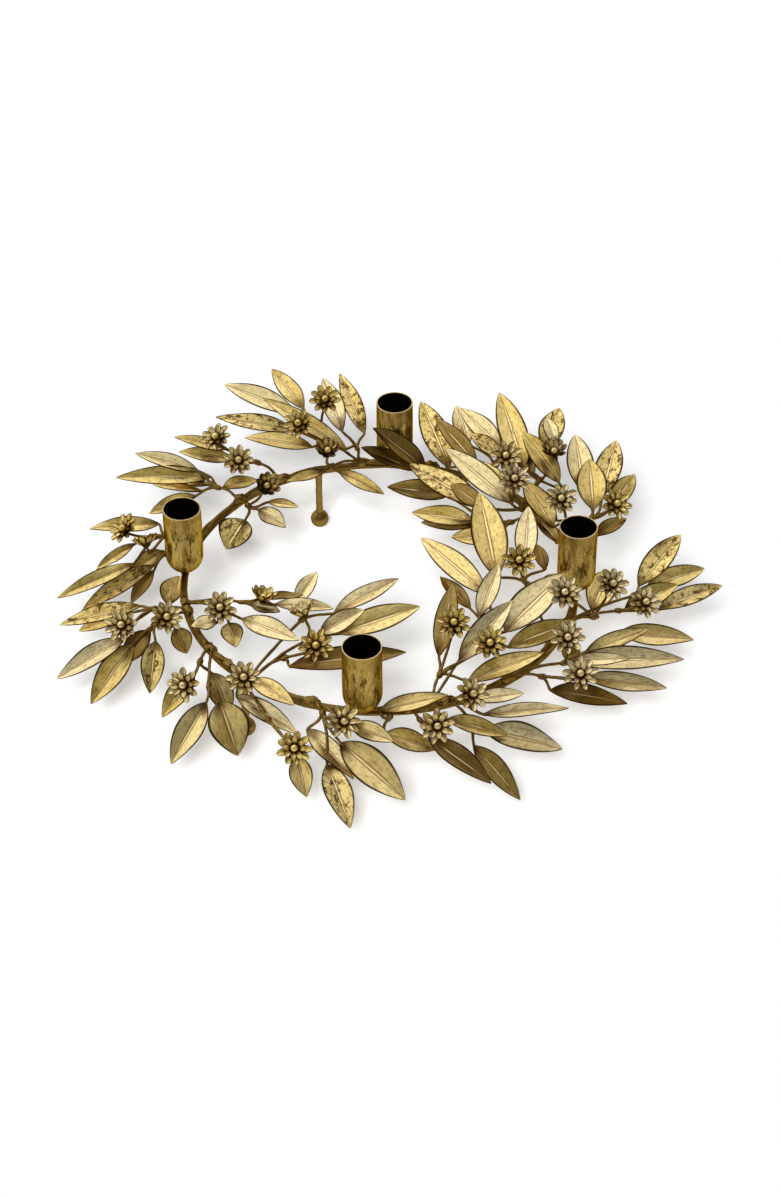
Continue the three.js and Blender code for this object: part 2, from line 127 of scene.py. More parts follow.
OUTER_PETALS = 9
INNER_PETALS = 8
PETAL_COLUMNS = (-0.96, -0.6, -0.25, -0.08, 0.0, 0.08, 0.25, 0.6, 0.96)
PETAL_ROWS = 8
PETAL_THICKNESS = 0.5
BEAD_RADIUS = 2.3
BEAD_RISE = 2.0
BEAD_ROWS = 14
HEAD_SIDES = 24
HEAD_BACK = ((0.3, -1.6), (1.2, -1.5), (2.4, -0.7), (2.9, 0.2), (2.2, 0.8), (0.3, 0.9))  # radius, height
FLOWER_FACING = (0, -2, 3)
BUD_SPREAD = 0.3

FLOOR_SIZE = 60000.0

# ---- studio: camera and light --------------------------------------------------------------------

CAMERA_ELEVATION = math.radians(39.47)
CAMERA_ROLL = -0.0046
CAMERA_DISTANCE = 1692.6
CAMERA_TARGET = Vector((6.5, -16.4, 45.0))
CAMERA_LENS = 81.28
CAMERA_SENSOR = 36

BACKDROP_SIDE = Vector((-0.45, 0.6, 0.65)).normalized()
STUDIO_DIM = 0.3
STUDIO_BRIGHT = 1.4
KEY_SIDE = Vector((-0.14, -0.67, 0.7))
KEY_STRENGTH = 2.8
KEY_WIDTH = math.radians(22)
FLOOR_GLOW = 0.46
STUDIO_FADE = (0.0, 0.85)  # from dim to bright, as the share of a direction that points to the backdrop

# Tone, spots and grooves of a leaf or flower. Tone runs from -1, dark, to 1, pale.
FINISHES = {
    "plain": (0.0, 0.4, 0.2),
    "dark": (-0.85, 0.4, 0.3),
    "pale": (0.75, 0.2, 0.1),
    "spotted": (0.1, 0.95, 0.0),
    "golden": (0.3, 0.1, 0.0),
    "grooved": (-0.15, 0.3, 1.0),
}

# The same values, or the range that each is drawn from, for the parts that are not in the layout.
RING_FINISH = (-0.9, 0.6, 0.0)
WIRE_TONE = (-0.95, -0.65)
WIRE_SPOTS = 0.5
LEG_TONE = (-0.95, -0.75)
LEG_SPOTS = 0.5
# The cups' dark tone is partly their brown patina and partly painted shade, for the dark leaves and
# shaded floor that they reflect.
CUP_TONE = (-0.5, -0.35)
CUP_SPOTS = (0.6, 0.8)
LEAF_TONE_SPREAD = 0.15
PETAL_TONE = 0.5  # petals are paler than leaves, and follow their finish less
PETAL_TONE_SHARE = 0.6

# ---- layout --------------------------------------------------------------------------------
# A spray starts on the ring at ring_angle and runs to its forks. From a fork each leaf runs to
# where its blade starts and on to its point: (start x, y, z, point x, y, z, width, finish).
# A flower or bud is (x, y, z, facing x, y, z, finish); without a facing it looks up and forward.

SPRAYS = [
  {
    "name": "left_back", "ring_angle": 166, "forks": [
      { "at": [-138, 40, 51],
        "leaves": [[-142, 50, 53, -185, 37, 60, 12], [-157, 33, 50, -181, 20, 40, 8],
          [-156, 14, 49, -205, 1, 32, 11]],
        "flowers": [[-162, 28, 66, -2, -1, 3, "dark"]],
        "buds": [[-148, 23, 57, -1, 2, 3, "dark"]] },
      { "at": [-136, 27, 47],
        "leaves": [[-139, 32, 45, -159, 23, 36, 11],
          [-144, 16, 46, -189, -4, 26, 13, "spotted"],
          [-144, 17, 41, -159, 5, 24, 10, "dark"]] },
    ],
  },
  {
    "name": "left_low", "ring_angle": 195, "forks": [
      { "at": [-140, -33, 51],
        "leaves": [[-149, -29, 50, -200, -30, 36, 13, "spotted"],
          [-156, -28, 43, -190, -22, 24, 11], [-157, -57, 47, -199, -70, 26, 15, "pale"]],
        "flowers": [[-158, -55, 56, -1, -3, 4]] },
      { "at": [-137, -42, 47],
        "leaves": [[-152, -56, 42, -177, -87, 20, 18],
          [-142, -45, 43, -160, -56, 26, 15, "dark"],
          [-138, -56, 44, -141, -82, 24, 15, "spotted"], [-127, -38, 40, -120, -47, 26, 14],
          [-133, -12, 37, -128, 20, 34, 17]],
        "flowers": [[-131, -50, 58, 1, -2, 3]] },
    ],
  },
  {
    "name": "front_left_outer", "ring_angle": 213, "forks": [
      { "at": [-109, -82, 50],
        "leaves": [[-112, -92, 48, -132, -108, 28, 14],
          [-102, -87, 45, -91, -104, 26, 16, "golden"]],
        "flowers": [[-117, -111, 56, -1, -3, 3]] },
      { "at": [-103, -100, 46],
        "leaves": [[-104, -113, 44, -125, -141, 20, 17, "golden"],
          [-96, -110, 42, -85, -134, 20, 25, "golden"]] },
    ],
  },
  {
    "name": "front_left_inner", "ring_angle": 222, "forks": [
      { "at": [-84, -98, 51],
        "leaves": [[-77, -101, 52, -51, -122, 50, 13],
          [-86, -108, 45, -49, -132, 36, 13, "pale"]],
        "flowers": [[-81, -110, 61, 0, -2, 3]] },
      { "at": [-66, -128, 43],
        "leaves": [[-49, -152, 36, -43, -172, 22, 14, "golden"]],
        "flowers": [[-50, -157, 47, 0, -3, 3, "dark"]] },
    ],
  },
  {
    "name": "front", "ring_angle": 251, "forks": [
      { "at": [-34, -128, 48],
        "leaves": [[-43, -135, 42, -15, -165, 30, 14, "pale"],
          [-31, -157, 34, -17, -194, 18, 17, "spotted"],
          [-23, -147, 42, 15, -177, 24, 22, "golden"]],
        "flowers": [[-21, -143, 55, 1, -3, 4]] },
      { "at": [-24, -134, 49],
        "leaves": [[-17, -138, 48, 8, -148, 44, 13, "golden"]] },
    ],
  },
  {
    "name": "front_right_low", "ring_angle": 277, "forks": [
      { "at": [6, -134, 50],
        "leaves": [[0, -129, 51, 41, -122, 57, 12, "golden"],
          [3, -139, 42, 33, -145, 34, 14]] },
      { "at": [24, -134, 48],
        "leaves": [[29, -142, 41, 66, -161, 22, 15, "dark"], [40, -131, 46, 76, -136, 37, 12]],
        "flowers": [[34, -146, 54, 0, -3, 3]] },
    ],
  },
  {
    "name": "front_right_high", "ring_angle": 289, "forks": [
      { "at": [50, -122, 51],
        "leaves": [[56, -122, 53, 86, -117, 54, 11, "pale"],
          [62, -128, 47, 113, -119, 44, 10, "pale"]],
        "flowers": [[55, -127, 62, 1, -2, 3]] },
      { "at": [53, -128, 44],
        "leaves": [[63, -132, 38, 109, -136, 26, 19, "pale"],
          [56, -139, 32, 83, -167, 14, 14, "dark"]] },
    ],
  },
  {
    "name": "right_low", "ring_angle": 309, "forks": [
      { "at": [98, -95, 48],
        "leaves": [[103, -102, 43, 151, -93, 24, 15, "dark"],
          [124, -91, 43, 175, -88, 32, 13, "pale"]],
        "flowers": [[120, -107, 60, 0, -2, 3, "pale"]] },
      { "at": [112, -85, 50],
        "leaves": [[118, -83, 49, 186, -73, 42, 17, "pale"],
          [116, -88, 54, 152, -87, 55, 9, "pale"], [125, -77, 51, 165, -54, 50, 12, "golden"],
          [148, -48, 42, 195, -45, 34, 15, "golden"]],
        "flowers": [[114, -77, 63, 0, -2, 3, "pale"]] },
    ],
  },
  {
    "name": "right", "ring_angle": 338, "forks": [
      { "at": [132, -43, 51],
        "leaves": [[133, -25, 41, 146, 14, 42, 19]],
        "flowers": [[144, -28, 65, 1, -2, 3, "pale"], [113, -51, 77, 0, -2, 3, "pale"]] },
      { "at": [148, -37, 51],
        "leaves": [[152, -37, 52, 186, -19, 57, 15],
          [174, -30, 46, 217, 1, 40, 14, "spotted"]],
        "flowers": [[163, -46, 65, 1, -2, 3, "pale"]] },
      { "at": [160, -16, 46],
        "leaves": [[163, -7, 46, 193, 38, 52, 17, "spotted"],
          [169, -3, 42, 208, 23, 36, 15]] },
    ],
  },
  {
    "name": "right_back", "ring_angle": 20, "forks": [
      { "at": [134, 52, 53],
        "leaves": [[133, 75, 58, 129, 120, 72, 18, "pale"], [138, 58, 57, 137, 95, 70, 20],
          [145, 77, 54, 157, 124, 64, 18, "spotted"],
          [151, 70, 49, 168, 100, 54, 14, "grooved"], [139, 41, 49, 160, 60, 48, 11, "dark"]],
        "flowers": [[152, 53, 65, 1, -2, 3, "dark"]] },
      { "at": [120, 48, 55],
        "leaves": [[114, 48, 56, 101, 56, 58, 11],
          [111, 42, 56, 94, 79, 64, 17, "grooved"], [114, 30, 52, 101, 55, 54, 10, "dark"]],
        "flowers": [[116, 47, 74, 0, -2, 3, "pale"]] },
    ],
  },
  {
    "name": "back_right_tall", "ring_angle": 39, "forks": [
      { "at": [104, 88, 58],
        "leaves": [[95, 96, 62, 80, 157, 80, 19]],
        "flowers": [[82, 88, 78, 0, -2, 3]] },
      { "at": [119, 79, 55],
        "leaves": [[117, 83, 60, 94, 117, 77, 16, "grooved"],
          [101, 93, 57, 88, 126, 72, 11, "pale"]] },
      { "at": [113, 98, 60],
        "leaves": [[109, 112, 65, 120, 147, 74, 17, "spotted"],
          [115, 109, 73, 110, 127, 81, 10, "pale"]],
        "buds": [[114, 98, 73, 0, -1, 4, "pale"]] },
    ],
  },
  {
    "name": "back_right_wide", "ring_angle": 53, "forks": [
      { "at": [76, 103, 56],
        "leaves": [[46, 107, 55, 28, 172, 62, 19, "spotted"],
          [64, 102, 61, 37, 138, 73, 13, "dark"], [59, 126, 60, 52, 162, 66, 14, "pale"],
          [80, 115, 65, 54, 150, 72, 15, "pale"], [79, 102, 67, 60, 117, 75, 12, "spotted"]] },
    ],
  },
  {
    "name": "right_back_inner", "ring_angle": 30, "forks": [
      { "at": [92, 60, 56],
        "leaves": [[84, 61, 61, 43, 105, 72, 17, "pale"],
          [65, 60, 58, 19, 96, 66, 20, "spotted"], [66, 53, 63, 46, 74, 66, 13, "dark"],
          [86, 64, 57, 66, 99, 66, 14]],
        "flowers": [[87, 66, 76, 0, -2, 3, "pale"]] },
      { "at": [84, 50, 53],
        "leaves": [[45, 82, 51, 5, 87, 54, 15, "dark"], [61, 51, 53, 21, 61, 53, 15],
          [72, 37, 50, 46, 40, 49, 13], [62, 56, 46, 27, 62, 44, 12, "dark"]] },
    ],
  },
  {
    "name": "inner_right", "ring_angle": 284, "forks": [
      { "at": [36, -100, 54],
        "leaves": [[36, -83, 54, 46, -20, 60, 14, "dark"],
          [48, -94, 59, 81, -57, 76, 16, "pale"], [53, -105, 53, 99, -87, 60, 15]],
        "flowers": [[45, -73, 72, 0, -2, 3, "dark"], [66, -97, 76, 0, -2, 3, "dark"]] },
      { "at": [60, -70, 58],
        "leaves": [[56, -40, 56, 38, -5, 53, 10, "dark"],
          [66, -31, 60, 26, 26, 60, 17, "golden"], [61, -58, 64, 74, -22, 76, 13, "pale"],
          [76, -71, 63, 114, -29, 74, 23, "pale"], [78, -78, 57, 121, -54, 57, 15]] },
    ],
  },
  {
    "name": "inner_right_back", "ring_angle": 328, "forks": [
      { "at": [90, -16, 58],
        "leaves": [[73, -18, 63, 64, 52, 76, 23], [91, -4, 62, 95, 42, 72, 15, "pale"],
          [104, -1, 55, 100, 26, 54, 9, "dark"], [100, -28, 62, 113, -20, 66, 9]],
        "flowers": [[87, -12, 71, 0, -2, 3, "dark"]] },
    ],
  },
  {
    "name": "inner_left", "ring_angle": 231, "forks": [
      { "at": [-58, -84, 54],
        "leaves": [[-54, -94, 56, 16, -86, 60, 16, "dark"]],
        "flowers": [[-38, -94, 72, 0, -2, 3, "dark"]] },
      { "at": [-44, -72, 58],
        "leaves": [[-36, -73, 64, -9, -61, 73, 13, "pale"],
          [-24, -66, 58, 25, -43, 60, 18, "golden"]],
        "buds": [[-46, -58, 66, -1, 1, 3]] },
      { "at": [-48, -48, 54],
        "leaves": [[-28, -43, 55, 12, -13, 58, 13, "pale"],
          [-52, -33, 55, -39, -8, 60, 11, "pale"]] },
    ],
  },
  {
    "name": "inner_left_back", "ring_angle": 191, "forks": [
      { "at": [-98, -40, 56],
        "leaves": [[-100, -50, 54, -116, -51, 52, 11, "pale"], [-93, -46, 50, -88, -64, 46, 14],
          [-84, -53, 59, -49, -79, 64, 14, "pale"]],
        "flowers": [[-98, -46, 62, 0, -2, 3]] },
      { "at": [-84, -38, 60],
        "leaves": [[-79, -43, 62, -61, -47, 60, 9, "pale"],
          [-64, -45, 64, -28, -49, 64, 10, "pale"], [-72, -36, 62, -47, -36, 64, 6, "dark"]],
        "buds": [[-72, -41, 64, 1, 1, 4, "dark"]] },
    ],
  },
  {
    "name": "back_left_low", "ring_angle": 138, "forks": [
      { "at": [-86, 78, 46],
        "leaves": [[-88, 72, 39, -100, 54, 29, 24, "spotted"],
          [-79, 75, 45, -61, 63, 40, 13, "pale"], [-73, 82, 46, -53, 77, 46, 7]],
        "buds": [[-74, 83, 58, 1, -2, 3]] },
      { "at": [-106, 90, 52],
        "leaves": [[-119, 101, 57, -161, 112, 64, 12, "pale"], [-111, 99, 54, -173, 96, 56, 14],
          [-112, 94, 51, -136, 103, 50, 7], [-117, 93, 47, -150, 103, 45, 7],
          [-121, 90, 45, -151, 78, 40, 12], [-103, 90, 52, -80, 95, 54, 11]] },
    ],
  },
  {
    "name": "back_left_high", "ring_angle": 122, "forks": [
      { "at": [-80, 106, 60],
        "leaves": [[-96, 107, 62, -132, 111, 66, 11], [-101, 113, 66, -135, 118, 73, 9]],
        "flowers": [[-107, 111, 77, -1, -1, 3], [-92, 95, 70, 0, -2, 3]] },
    ],
  },
  {
    "name": "back_left_tall", "ring_angle": 96, "forks": [
      { "at": [-15, 128, 56],
        "leaves": [[-10, 136, 62, -27, 186, 76, 13, "spotted"],
          [-25, 136, 64, -38, 180, 76, 15, "pale"],
          [-22, 120, 61, -78, 157, 76, 13, "golden"]] },
      { "at": [-36, 130, 58],
        "leaves": [[-51, 159, 66, -73, 191, 76, 14], [-57, 155, 65, -105, 179, 72, 16, "pale"],
          [-58, 146, 58, -110, 155, 62, 13, "spotted"],
          [-45, 129, 56, -90, 139, 57, 13, "golden"]],
        "flowers": [[-36, 143, 84, 0, -1, 2, "dark"], [-53, 122, 80, -1, -2, 3, "dark"]] },
      { "at": [-32, 114, 51],
        "leaves": [[-38, 107, 51, -61, 99, 50, 8], [-27, 112, 48, 3, 95, 42, 10]],
        "buds": [[-34, 107, 68, 0, -1, 3]] },
    ],
  },
  {
    "name": "back", "ring_angle": 74, "forks": [
      { "at": [32, 107, 53],
        "leaves": [[30, 102, 58, -4, 106, 88, 16, "dark"],
          [22, 107, 53, -12, 105, 73, 13, "dark"]] },
    ],
  },
]

# ---- helpers for shapes ----------------------------------------------------------------------

class Shape:
    """Closed skins in millimetres, with what the materials read at each point.

    grain is where the patina's noise is read, shape is (across, along, edge) of the part
    that the point is on, and finish is (tone, spots, grooves) of that part.
    """

    def __init__(self):
        self.points = []
        self.faces = []
        self.marks = {"grain": [], "shape": [], "finish": []}

    def skin(self, rings, grain, shape, finish):
        """Closes the skin between rings of points that all have the same count."""
        start = len(self.points)
        count = len(rings[0])
        for row, ring in enumerate(rings):
            for step, point in enumerate(ring):
                self.points.append(point)
                self.marks["grain"].append(grain(row, step, point))
                self.marks["shape"].append(shape(row, step, point))
                self.marks["finish"].append(finish)
        for row in range(len(rings) - 1):
            first = start + row * count
            for step in range(count):
                after = (step + 1) % count
                self.faces.append((first + step, first + after,
                                   first + count + after, first + count + step))
        last = start + (len(rings) - 1) * count
        self.faces.append(tuple(range(start, start + count)))
        self.faces.append(tuple(range(last, last + count)))


def on_ring(angle, height, radius=RING_RADIUS):
    turn = math.radians(angle)
    return Vector((radius * math.cos(turn), radius * math.sin(turn), height))


def spline(knots, steps):
    """A smooth line through the knots, with the same number of steps between each two."""
    ends = [2 * knots[0] - knots[1], *knots, 2 * knots[-1] - knots[-2]]
    line = []
    for before, start, end, after in zip(ends, ends[1:], ends[2:], ends[3:]):
        for step in range(steps):
            t = step / steps
            line.append(0.5 * (2 * start + (end - before) * t
                               + (2 * before - 5 * start + 4 * end - after) * t ** 2
                               + (3 * start - 3 * end + after - before) * t ** 3))
    line.append(knots[-1].copy())
    return line


def plain_grain(row, step, point):
    return point


def tube(shape, line, radii, sides, finish, uneven=0.0):
    """A round wire along a line, rounded at both ends. uneven moves its surface in and out."""
    directions = [(after - before).normalized()
                  for before, after in zip([line[0], *line[:-1]], [*line[1:], line[-1]])]
    side = directions[0].orthogonal().normalized()
    rings = []
    for centre, direction, radius in zip(line, directions, radii):
        side = (side - direction * side.dot(direction)).normalized()
        other = direction.cross(side)
        around = []
        for step in range(sides):
            turn = 2 * math.pi * step / sides
            out = side * math.cos(turn) + other * math.sin(turn)
            dent = uneven * noise.noise((centre + out * radius) * 0.35)
            around.append(centre + out * (radius + dent))
        rings.append(around)
    caps = [(0, directions[0] * -radii[0]), (-1, directions[-1] * radii[-1])]
    for end, reach in caps:
        nub = [line[end] + (point - line[end]) * 0.55 + reach * 0.7 for point in rings[end]]
        rings.insert(0 if end == 0 else len(rings), nub)
    length = len(rings) - 1
    shape.skin(rings, plain_grain, lambda row, step, point: (0.0, row / length, 0.0), finish)


def lump(shape, centre, along, reach, radius, finish):
    """A run of braze: an egg along a direction, with an uneven surface."""
    rows, sides = 10, 16
    side = along.orthogonal().normalized()
    other = along.cross(side)
    rings = []
    for row in range(rows + 1):
        lean = math.pi * (row + 0.3) / (rows + 0.6)
        around = []
        for step in range(sides):
            turn = 2 * math.pi * step / sides
            out = side * math.cos(turn) + other * math.sin(turn)
            point = along * (-reach * math.cos(lean)) + out * (radius * math.sin(lean))
            swell = 1 + 0.45 * noise.noise((centre + point) * 0.4)
            around.append(centre + point * swell)
        rings.append(around)
    shape.skin(rings, plain_grain, lambda row, step, point: (0.0, 0.5, 0.0), finish)


def lathe(shape, profile, sides, centre, finish, mark, uneven=0.0, streak=1.0):
    """Turns a profile of (radius, height) about the upright axis. Its ends lie near the axis."""
    rings = []
    for radius, height in profile:
        around = []
        for step in range(sides):
            turn = 2 * math.pi * step / sides
            out = Vector((math.cos(turn), math.sin(turn), 0))
            place = centre + out * radius + Vector((0, 0, height))
            dent = uneven * noise.noise(place * 0.09) * min(1, radius / 3)
            around.append(place + out * dent)
        rings.append(around)

    def grain(row, step, point):
        return point.x, point.y, point.z * streak

    shape.skin(rings, grain, lambda row, step, point: mark(row, point.z - centre.z), finish)


def arc(centre_height, radius_across, radius_up, start, end, steps):
    """Points of an arc about the axis, from one angle above the horizontal to another."""
    angles = [start + (end - start) * step / steps for step in range(steps + 1)]
    return [(radius_across * math.cos(angle), centre_height + radius_up * math.sin(angle))
            for angle in angles]


# ---- leaves ------------------------------------------------------------------------------------

def leaf_outline(along):
    return math.sin(math.pi * along ** 0.85) ** 0.8


def blade(shape, start, point, width, rng, tone, spots, grooves):
    """A leaf stamped from sheet: folded up on both sides of its midrib, and slightly bowed."""
    length = (point - start).length
    bow = LEAF_FACING * (LEAF_ARCH * rng.uniform(0.7, 1.4) * length)
    fold = LEAF_FOLD * rng.uniform(0.8, 1.15)
    curl = rng.uniform(-0.45, 0.45)
    roll = math.radians(rng.uniform(-7, 7))
    twist = math.radians(rng.uniform(-18, 18))
    wave = rng.uniform(0.1, 0.5)
    wave_turn = rng.uniform(0, 2 * math.pi)
    seed = rng.uniform(0, 500)

    def centre(along):
        return start.lerp(point, along) + bow * (4 * along * (1 - along))

    rings, places = [], []
    for row in range(LEAF_ROWS + 1):
        along = row / LEAF_ROWS
        direction = (centre(along + 0.01) - centre(along - 0.01)).normalized()
        turn = Quaternion(direction, roll + twist * (along - 0.5))
        side = turn @ direction.cross(LEAF_FACING).normalized()
        up = side.cross(direction)
        half = leaf_outline(min(along, 1.0)) * width / 2
        half = max(half, LEAF_NECK if along < 0.5 else LEAF_TIP)
        ripple = wave * math.sin(wave_turn + along * 9)

        def surface(across, lower, reach=half, middle=centre(along), sway=ripple,
                    side=side, up=up):
            bend = abs(across) + curl * (across ** 2 - abs(across))
            rise = (reach - LEAF_TIP) * fold * bend + sway * across ** 2
            rib = MIDRIB * max(0.0, 1 - abs(across) / 0.05) * min(1, reach / 2)
            return middle + side * (across * reach) + up * (rise + rib - lower)

        top = [(across, 0.0) for across in LEAF_COLUMNS]
        loop = [*top, (1.0, LEAF_THICKNESS / 2),
                *[(across, LEAF_THICKNESS) for across, _ in reversed(top)],
                (-1.0, LEAF_THICKNESS / 2)]
        rings.append([surface(across, lower) for across, lower in loop])
        places.append([(across * half, along * length, across) for across, _ in loop])

    def grain(row, step, point):
        across, along, _ = places[row][step]
        return across, along * 0.7 + seed, seed

    def position(row, step, point):
        return places[row][step][2], row / LEAF_ROWS, 0.0

    shape.skin(rings, grain, position, (tone, spots, grooves))


# ---- flowers -----------------------------------------------------------------------------------

def petal(shape, head, turn, inner, reach, width, lift, rng, finish):
    """One spoon-shaped petal. lift is its rise at the tip for its length."""
    seed = rng.uniform(0, 500)
    length = reach - inner
    lift = lift * rng.uniform(0.85, 1.15)
    cup = rng.uniform(0.3, 0.5)
    rings = []
    for row in range(PETAL_ROWS + 1):
        along = row / PETAL_ROWS
        half = width / 2 * (0.3 + 0.7 * math.sin(math.pi * min(1, 0.12 + along * 0.78)) ** 0.8)
        half *= math.sqrt(max(0.06, 1 - max(0.0, (along - 0.8) / 0.2) ** 2))
        spread = math.cos(lift * along * 0.6)
        out = inner + length * along * spread
        height = length * (math.sin(lift * 0.75) * along + 0.16 * lift * along ** 2)

        def surface(across, lower, half=half, out=out, height=height):
            dish = cup * half * across ** 2
            groove = 0.18 * max(0.0, 1 - abs(across) / 0.12)
            local = Vector((out, across * half, height + dish - groove - lower))
            return head @ (Matrix.Rotation(turn, 4, "Z") @ local)

        top = [(across, 0.0) for across in PETAL_COLUMNS]
        loop = [*top, (1.0, PETAL_THICKNESS / 2),
                *[(across, PETAL_THICKNESS) for across, _ in reversed(top)],
                (-1.0, PETAL_THICKNESS / 2)]
        rings.append([surface(across, lower) for across, lower in loop])
    count = len(rings[0])
    columns = [*PETAL_COLUMNS, 1.0, *reversed(PETAL_COLUMNS), -1.0]

    def position(row, step, point):
        return columns[step % count], row / PETAL_ROWS, 0.0

    shape.skin(rings, lambda row, step, point: (point.x, point.y, point.z + seed), position, finish)


def head_frame(place, facing):
    """Turns a head made facing up to face the given way, and puts it at its place."""
    turn = Vector((0, 0, 1)).rotation_difference(Vector(facing).normalized())
    return Matrix.Translation(place) @ turn.to_matrix().to_4x4()


def turned(head, profile):
    """Rings of points from a profile of (radius, height) turned about the axis of a flower head."""
    turns = [2 * math.pi * step / HEAD_SIDES for step in range(HEAD_SIDES)]
    return [[head @ Vector((radius * math.cos(turn), radius * math.sin(turn), height))
             for turn in turns] for radius, height in profile]


def flower(shape, place, facing, spread, rng, tone):
    """Two layers of petals and a bead. spread is 1 on an open flower and near 0 on a bud."""
    head = head_frame(place, facing)
    finish = (tone, 0.0, 0.0)
    closed = 1 - spread
    layers = [
        (OUTER_PETALS, 1.6, 10.9 - 1.5 * closed, 4.6, 0.2 + 1.05 * closed, 0.0),
        (INNER_PETALS, 1.3, 7.8 - 0.2 * closed, 3.6, 0.6 + 0.75 * closed, 0.5),
    ]
    first = rng.uniform(0, 2 * math.pi)
    for count, inner, reach, width, lift, stagger in layers:
        for index in range(count):
            turn = first + 2 * math.pi * (index + stagger + rng.uniform(-0.12, 0.12)) / count
            petal(shape, head, turn, inner, reach * rng.uniform(0.93, 1.04), width, lift, rng, finish)
    leans = [math.pi * (row + 0.25) / (BEAD_ROWS + 0.5) for row in range(BEAD_ROWS + 1)]
    bead = [(BEAD_RADIUS * math.sin(lean), BEAD_RISE - BEAD_RADIUS * math.cos(lean)) for lean in leans]
    # bright is 1 on the bead, which petal_recess spares from its painted shade, and 0 on the back of the
    # head, which it paints dark.
    for profile, bright in ((bead, 1.0), (HEAD_BACK, 0.0)):
        rings = turned(head, profile)
        shape.skin(rings, plain_grain, lambda row, step, point, bright=bright: (0.0, 0.0, bright), finish)


# ---- wires --------------------------------------------------------------------------------------

def behind(place, facing, distance):
    return place - Vector(facing).normalized() * distance


def taper(count, first, last):
    return [first + (last - first) * index / (count - 1) for index in range(count)]


def twig(shape, ring_angle, fork, lane, finish):
    """A wire that lies along the ring, is brazed to it, and runs out to a fork."""
    root = on_ring(ring_angle, RING_HEIGHT + RING_ROD + 1.2)
    tangent = Vector((-math.sin(math.radians(ring_angle)), math.cos(math.radians(ring_angle)), 0))
    toward = 1 if (fork - root).dot(tangent) >= 0 else -1
    step = math.degrees(TWIG_RUN / 3 / RING_RADIUS) * toward
    beside = RING_RADIUS + lane * TWIG_SPACING
    drop = 1.0 - 0.6 * abs(lane)
    rest = RING_HEIGHT + RING_ROD + drop
    along = [on_ring(ring_angle - 3 * step, rest - 1.2, beside - lane),
             on_ring(ring_angle - 2 * step, rest - 0.1, beside),
             on_ring(ring_angle - step, rest - 0.3, beside), root]
    middle = root.lerp(fork, 0.55) + Vector((0, 0, TWIG_ARCH))
    line = spline([*along, middle, fork], 7)
    tube(shape, line, taper(len(line), TWIG_RADIUS, TWIG_RADIUS * 0.85), WIRE_SIDES, finish, 0.25)
    return (fork - middle).normalized()


def petiole(shape, fork, outward, start, point, finish):
    """The wire from a fork to under the base of a leaf."""
    direction = (point - start).normalized()
    span = (start - fork).length
    under = start + direction * 5 - LEAF_FACING * (LEAF_THICKNESS + 0.35)
    leave = fork + outward * (span * 0.3)
    arrive = start - direction * (span * 0.3) - LEAF_FACING * 0.3
    knots = [fork, leave.lerp(arrive, 0.35), start - LEAF_FACING * (LEAF_THICKNESS / 2), under]
    line = spline(knots, 6)
    radii = taper(len(line), PETIOLE_RADIUS * 1.15, PETIOLE_RADIUS * 0.75)
    tube(shape, line, radii, WIRE_SIDES, finish, 0.2)


def stalk(shape, fork, outward, place, facing, finish):
    """The wire from a fork to the back of a flower."""
    end = behind(place, facing, 1.0)
    span = (end - fork).length
    bend = behind(place, facing, 1.0 + span * 0.4)
    line = spline([fork, fork.lerp(bend, 0.6) + outward * (span * 0.1), bend.lerp(end, 0.5), end], 6)
    tube(shape, line, taper(len(line), STALK_RADIUS * 1.2, STALK_RADIUS), WIRE_SIDES, finish, 0.15)


# ---- materials ------------------------------------------------------------------------------------

